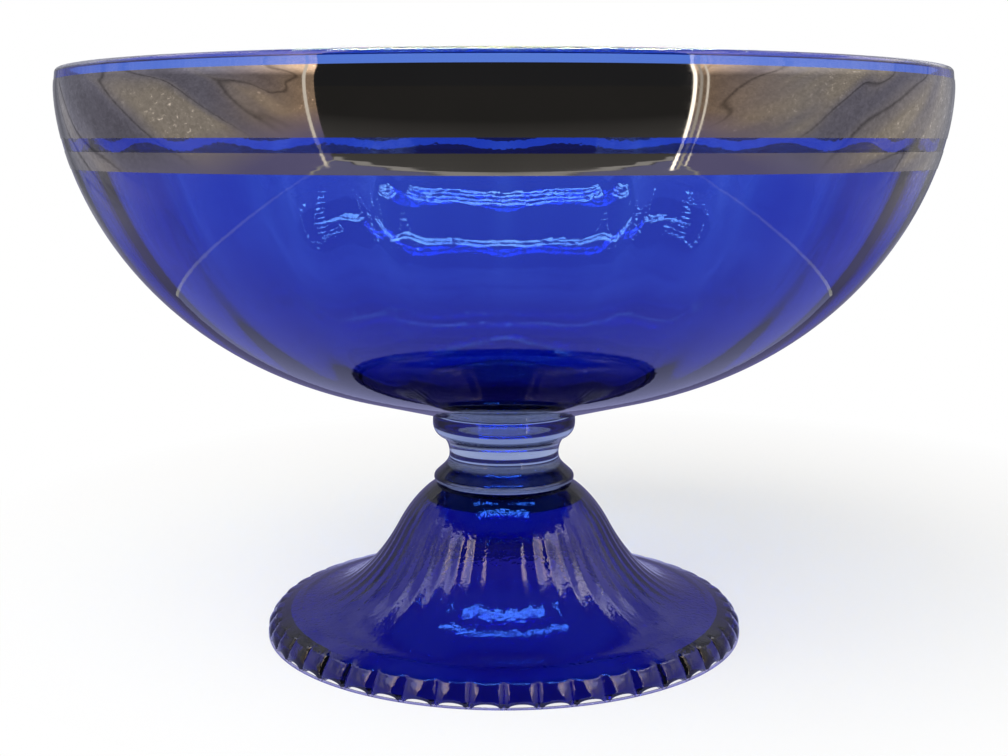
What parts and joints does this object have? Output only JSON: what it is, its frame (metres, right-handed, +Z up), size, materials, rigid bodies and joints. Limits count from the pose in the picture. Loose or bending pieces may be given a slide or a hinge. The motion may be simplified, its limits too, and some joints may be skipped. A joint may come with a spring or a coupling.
{
  "type": "pedestal compote",
  "caption": "Wide footed glass bowl with metallic bands under the rim, on a waisted stem and a fluted, hollow foot with a scalloped edge.",
  "frame": {"origin": "on the table under the bowl's axis, at the centre of the foot", "axes": "+Z up along the axis of the bowl, +X to the right and -Y to the front as pictured"},
  "size_m": [0.4204, 0.4204, 0.2767],
  "materials": {
    "bowl_glass": "polished transparent cobalt blue glass with soft ribs inside",
    "foot_glass": "polished deep cobalt blue glass, fluted outside",
    "stem_glass": "polished solid glass, nearly clear with a faint blue tint",
    "silver_film": "fired-on silver lustre film, a slightly dark mirror with faint brushing"
  },
  "bodies": {
    "root": {"foot": "foot_glass", "stem": "stem_glass", "wafer": "stem_glass", "bowl": "bowl_glass", "wide_band": "silver_film", "narrow_band": "silver_film"}
  },
  "joints": []
}
